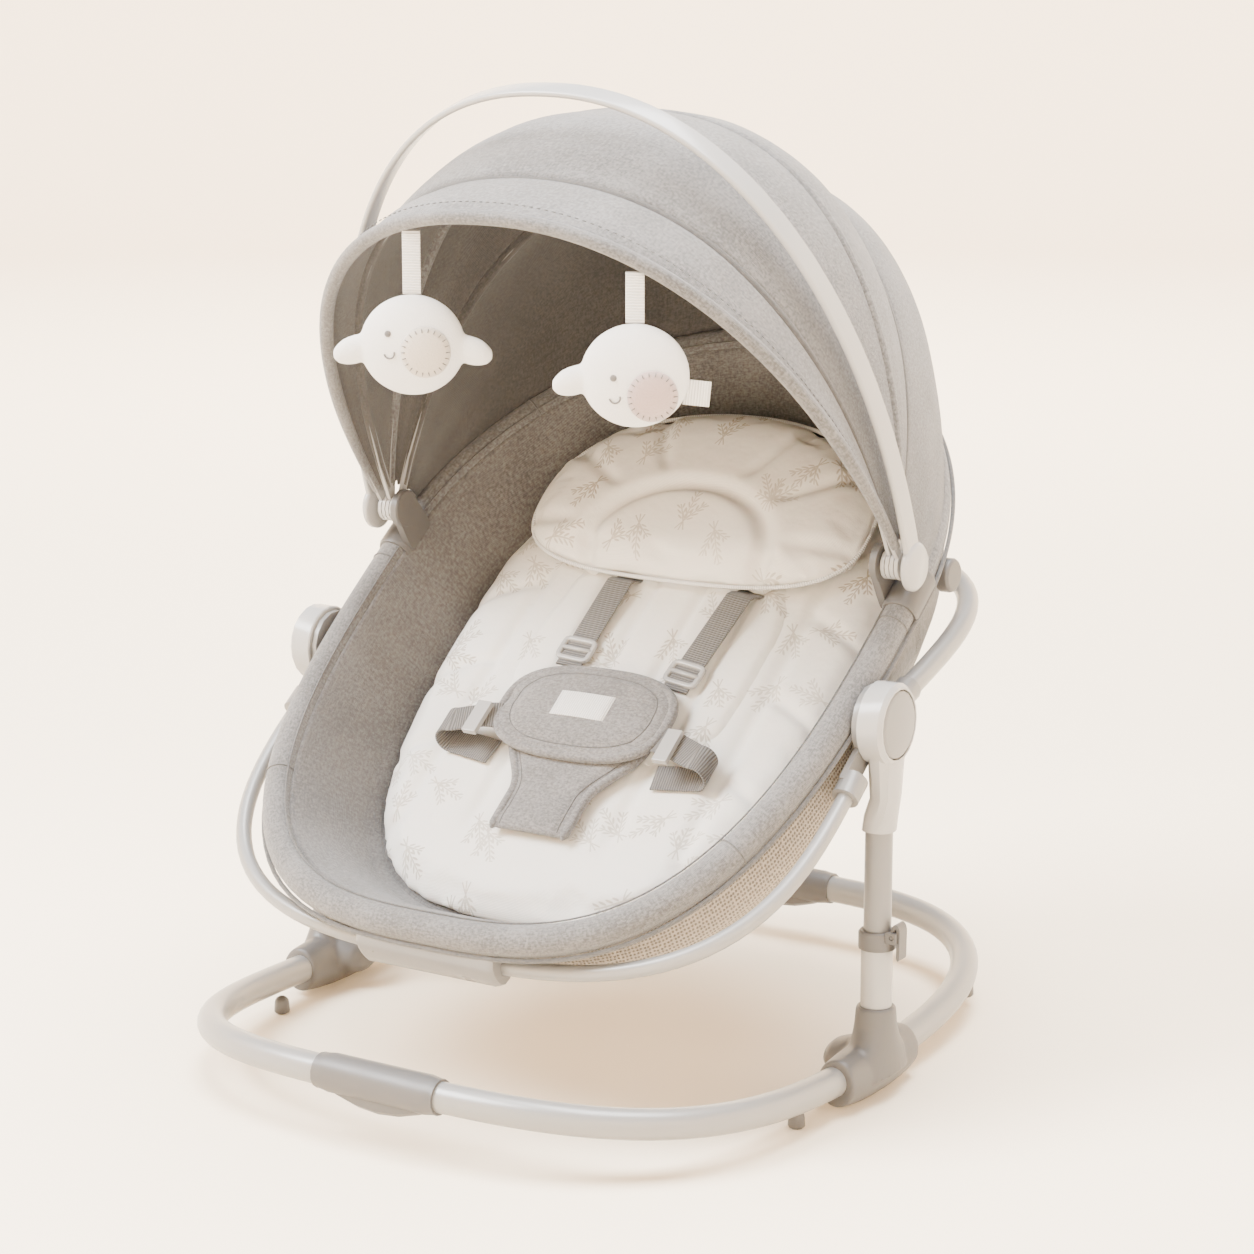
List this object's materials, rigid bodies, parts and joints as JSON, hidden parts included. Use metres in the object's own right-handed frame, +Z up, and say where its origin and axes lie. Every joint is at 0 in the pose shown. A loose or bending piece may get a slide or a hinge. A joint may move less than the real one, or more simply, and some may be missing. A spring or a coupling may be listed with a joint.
{
  "type": "bouncer seat",
  "caption": "Baby bouncer seat: rocking tube base, height-adjustable posts, reclining padded tub with harness, folding canopy, toy bar and hanging plush toys.",
  "frame": {"origin": "floor level, midway between the two base rails and midway between the foot and head joiners", "axes": "+X toward the sitter's left-hand side post, +Y toward the head end, +Z up"},
  "size_m": [0.5816, 0.6498, 0.7881],
  "materials": {
    "painted_tube": "satin light grey paint",
    "grey_plastic": "satin moulded",
    "white_plastic": "gloss moulded",
    "light_plastic": "semi-gloss moulded",
    "grey_fabric": "heather woven",
    "dark_fabric": "heather woven, padded",
    "white_fabric": "soft cotton with a faint botanical print",
    "plush": "short-pile plush",
    "webbing": "ribbed polyester webbing"
  },
  "bodies": {
    "base": {"base_rail_left": "painted_tube", "base_rail_right": "painted_tube", "joiner_head": "grey_plastic", "joiner_foot": "grey_plastic", "saddle_left": "grey_plastic", "saddle_right": "grey_plastic", "sleeve_left": "white_plastic", "sleeve_right": "white_plastic", "collar_left": "grey_plastic", "collar_right": "grey_plastic"},
    "lever_left": {"lever_left": "grey_plastic"},
    "lever_right": {"lever_right": "grey_plastic"},
    "stop_front_left": {"stop_front_left": "grey_plastic"},
    "stop_front_right": {"stop_front_right": "grey_plastic"},
    "stop_rear_left": {"stop_rear_left": "grey_plastic"},
    "stop_rear_right": {"stop_rear_right": "grey_plastic"},
    "mast": {"post_left": "painted_tube", "post_right": "painted_tube", "hub_shell_left": "white_plastic", "hub_shell_right": "white_plastic"},
    "button_left": {"hub_button_left": "light_plastic"},
    "button_right": {"hub_button_right": "light_plastic"},
    "seat": {"cradle_plate_left": "light_plastic", "cradle_plate_right": "light_plastic", "foot_tube": "painted_tube", "head_tube": "painted_tube", "foot_connector": "light_plastic", "rim_roll": "grey_fabric", "basket": "dark_fabric", "seat_pad": "white_fabric", "head_pillow": "white_fabric", "belly_pad": "grey_fabric", "crotch_pad": "grey_fabric", "shoulder_strap_left": "webbing", "shoulder_strap_right": "webbing", "waist_strap_left": "webbing", "waist_strap_right": "webbing", "waist_buckle_left": "white_plastic", "waist_buckle_right": "white_plastic", "hinge_bracket_left": "grey_plastic", "hinge_bracket_right": "grey_plastic", "rim_knuckle_left": "grey_plastic", "rim_knuckle_right": "grey_plastic", "canopy_tail": "grey_fabric"},
    "slider_left": {"strap_slider_left": "white_plastic"},
    "slider_right": {"strap_slider_right": "white_plastic"},
    "rear_bow": {"bow_rear": "white_plastic", "canopy_back": "grey_fabric"},
    "middle_bow": {"bow_middle": "white_plastic", "canopy_top": "grey_fabric"},
    "second_bow": {"bow_second": "white_plastic", "canopy_brow": "grey_fabric"},
    "front_bow": {"bow_front": "white_plastic"},
    "toy_bar": {"toy_bar": "white_plastic"},
    "toy_left": {"toy_strap_left": "white_fabric", "toy_head_left": "plush"},
    "toy_right": {"toy_strap_right": "white_fabric", "toy_head_right": "plush"}
  },
  "joints": [
    {"name": "height_slide", "type": "slide", "parent": "base", "child": "mast", "axis": [0, 0, 1], "range_m": [-0.045, 0.015]},
    {"name": "seat_recline", "type": "hinge", "parent": "mast", "child": "seat", "pos_m": [0, -0.016, 0.304], "axis": [1, 0, 0], "range_deg": [-26, 8]},
    {"name": "canopy_fold", "type": "hinge", "parent": "seat", "child": "rear_bow", "pos_m": [0, 0.051, 0.4145], "axis": [1, 0, 0], "range_deg": [-29, 0], "deforming": ["canopy_tail"]},
    {"name": "middle_bow_fold", "type": "hinge", "parent": "rear_bow", "child": "middle_bow", "pos_m": [0, 0.051, 0.4145], "axis": [1, 0, 0], "range_deg": [-13.6, 0], "deforming": ["canopy_back"]},
    {"name": "second_bow_fold", "type": "hinge", "parent": "middle_bow", "child": "second_bow", "pos_m": [0, 0.051, 0.4145], "axis": [1, 0, 0], "range_deg": [-22.6, 0], "deforming": ["canopy_top"]},
    {"name": "front_bow_fold", "type": "hinge", "parent": "second_bow", "child": "front_bow", "pos_m": [0, 0.051, 0.4145], "axis": [1, 0, 0], "range_deg": [-5.1, 0], "deforming": ["canopy_brow"]},
    {"name": "toy_bar_swing", "type": "hinge", "parent": "seat", "child": "toy_bar", "pos_m": [0, 0.051, 0.4145], "axis": [1, 0, 0], "range_deg": [-60, 45]},
    {"name": "toy_left_swing", "type": "hinge", "parent": "front_bow", "child": "toy_left", "pos_m": [-0.068, -0.16, 0.678], "axis": [1, 0, 0], "range_deg": [-20, 20]},
    {"name": "toy_right_swing", "type": "hinge", "parent": "front_bow", "child": "toy_right", "pos_m": [0.124, -0.145, 0.655], "axis": [1, 0, 0], "range_deg": [-20, 20]},
    {"name": "button_left_press", "type": "slide", "parent": "mast", "child": "button_left", "axis": [1, 0, 0], "range_m": [0, 0.004], "stiffness_N_per_m": 400},
    {"name": "lever_left_pull", "type": "hinge", "parent": "base", "child": "lever_left", "pos_m": [-0.2852, -0.016, 0.135], "axis": [0, 1, 0], "range_deg": [0, 18], "stiffness_Nm_per_rad": 0.3},
    {"name": "stop_front_left_fold", "type": "hinge", "parent": "base", "child": "stop_front_left", "pos_m": [-0.2502, -0.112, 0.00916], "axis": [0, -1, 0], "range_deg": [0, 75]},
    {"name": "stop_rear_left_fold", "type": "hinge", "parent": "base", "child": "stop_rear_left", "pos_m": [-0.2364, 0.215, 0.0179], "axis": [0, -1, 0], "range_deg": [0, 75]},
    {"name": "button_right_press", "type": "slide", "parent": "mast", "child": "button_right", "axis": [-1, 0, 0], "range_m": [0, 0.004], "stiffness_N_per_m": 400},
    {"name": "lever_right_pull", "type": "hinge", "parent": "base", "child": "lever_right", "pos_m": [0.2852, -0.016, 0.135], "axis": [0, -1, 0], "range_deg": [0, 18], "stiffness_Nm_per_rad": 0.3},
    {"name": "stop_front_right_fold", "type": "hinge", "parent": "base", "child": "stop_front_right", "pos_m": [0.2502, -0.112, 0.00916], "axis": [0, 1, 0], "range_deg": [0, 75]},
    {"name": "stop_rear_right_fold", "type": "hinge", "parent": "base", "child": "stop_rear_right", "pos_m": [0.2364, 0.215, 0.0179], "axis": [0, 1, 0], "range_deg": [0, 75]},
    {"name": "strap_left_adjust", "type": "slide", "parent": "seat", "child": "slider_left", "axis": [0.0801, 0.7514, 0.655], "range_m": [0, 0.055]},
    {"name": "strap_right_adjust", "type": "slide", "parent": "seat", "child": "slider_right", "axis": [0.159, 0.747, 0.6456], "range_m": [0, 0.055]}
  ],
  "couplings": [
    {"joint": "middle_bow_fold", "follows": "canopy_fold", "ratio": 0.4655},
    {"joint": "second_bow_fold", "follows": "canopy_fold", "ratio": 0.7759},
    {"joint": "front_bow_fold", "follows": "canopy_fold", "ratio": 0.1724}
  ]
}
